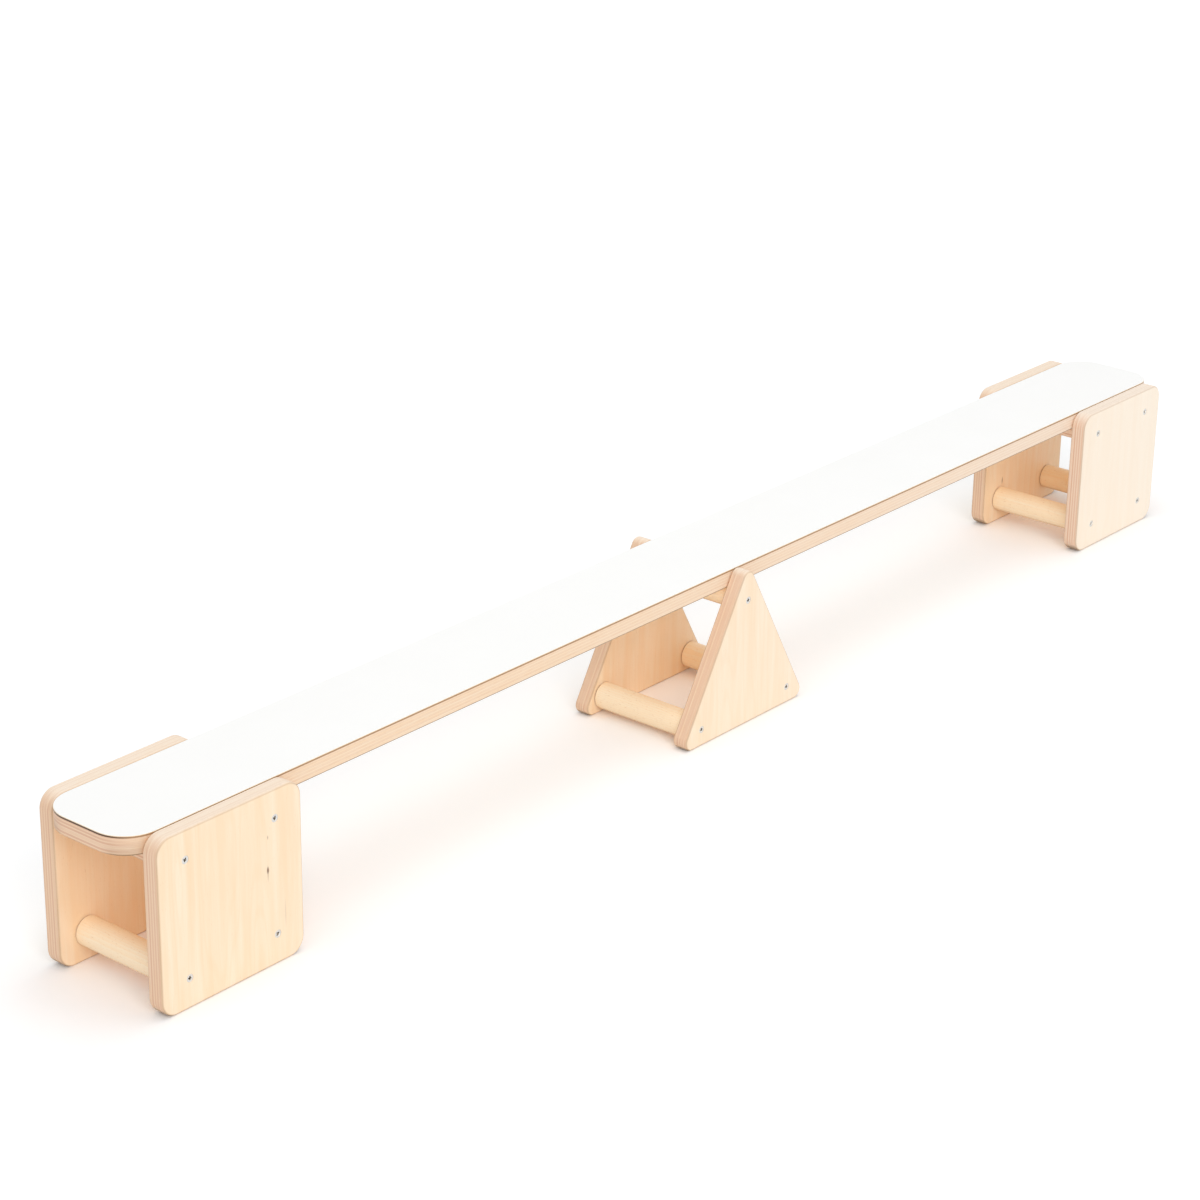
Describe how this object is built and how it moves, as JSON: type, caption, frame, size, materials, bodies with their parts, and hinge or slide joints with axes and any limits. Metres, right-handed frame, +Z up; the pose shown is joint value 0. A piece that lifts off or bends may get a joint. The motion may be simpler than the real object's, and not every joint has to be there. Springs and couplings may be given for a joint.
{
  "type": "wooden balance beam",
  "caption": "Low wooden balance beam for children: a long white-topped plywood board lying loose in square end stands and a triangular middle stand.",
  "frame": {"origin": "on the floor, under the middle of the board", "axes": "+X along the board, +Y across it towards the far plates, +Z up"},
  "size_m": [2, 0.1784, 0.205],
  "materials": {
    "birch_plywood": "clear matt varnish",
    "turned_beech": "clear matt varnish",
    "white_laminate": "satin",
    "zinc_screw": "bright zinc plate"
  },
  "bodies": {
    "middle_stand": {"middle_stand_near_plate": "birch_plywood", "middle_stand_far_plate": "birch_plywood", "middle_stand_dowel_top": "turned_beech", "middle_stand_dowel_left": "turned_beech", "middle_stand_dowel_right": "turned_beech", "middle_stand_near_screw_top": "zinc_screw", "middle_stand_near_screw_left": "zinc_screw", "middle_stand_near_screw_right": "zinc_screw", "middle_stand_far_screw_top": "zinc_screw", "middle_stand_far_screw_left": "zinc_screw", "middle_stand_far_screw_right": "zinc_screw"},
    "board": {"beam_board": "birch_plywood", "beam_top_laminate": "white_laminate"},
    "left_stand": {"left_stand_near_plate": "birch_plywood", "left_stand_far_plate": "birch_plywood", "left_stand_shelf": "birch_plywood", "left_stand_dowel_outer": "turned_beech", "left_stand_dowel_inner": "turned_beech", "left_stand_near_screw_shelf_outer": "zinc_screw", "left_stand_near_screw_shelf_inner": "zinc_screw", "left_stand_near_screw_dowel_outer": "zinc_screw", "left_stand_near_screw_dowel_inner": "zinc_screw", "left_stand_far_screw_shelf_outer": "zinc_screw", "left_stand_far_screw_shelf_inner": "zinc_screw", "left_stand_far_screw_dowel_outer": "zinc_screw", "left_stand_far_screw_dowel_inner": "zinc_screw"},
    "right_stand": {"right_stand_near_plate": "birch_plywood", "right_stand_far_plate": "birch_plywood", "right_stand_shelf": "birch_plywood", "right_stand_dowel_outer": "turned_beech", "right_stand_dowel_inner": "turned_beech", "right_stand_near_screw_shelf_outer": "zinc_screw", "right_stand_near_screw_shelf_inner": "zinc_screw", "right_stand_near_screw_dowel_outer": "zinc_screw", "right_stand_near_screw_dowel_inner": "zinc_screw", "right_stand_far_screw_shelf_outer": "zinc_screw", "right_stand_far_screw_shelf_inner": "zinc_screw", "right_stand_far_screw_dowel_outer": "zinc_screw", "right_stand_far_screw_dowel_inner": "zinc_screw"}
  },
  "joints": [
    {"name": "board_lift", "type": "slide", "parent": "middle_stand", "child": "board", "axis": [0, 0, 1], "range_m": [0, 0.12]},
    {"name": "left_stand_slide", "type": "slide", "parent": "middle_stand", "child": "left_stand", "axis": [1, 0, 0], "range_m": [-0.021, 0.6]},
    {"name": "right_stand_slide", "type": "slide", "parent": "middle_stand", "child": "right_stand", "axis": [-1, 0, 0], "range_m": [-0.021, 0.6]}
  ]
}
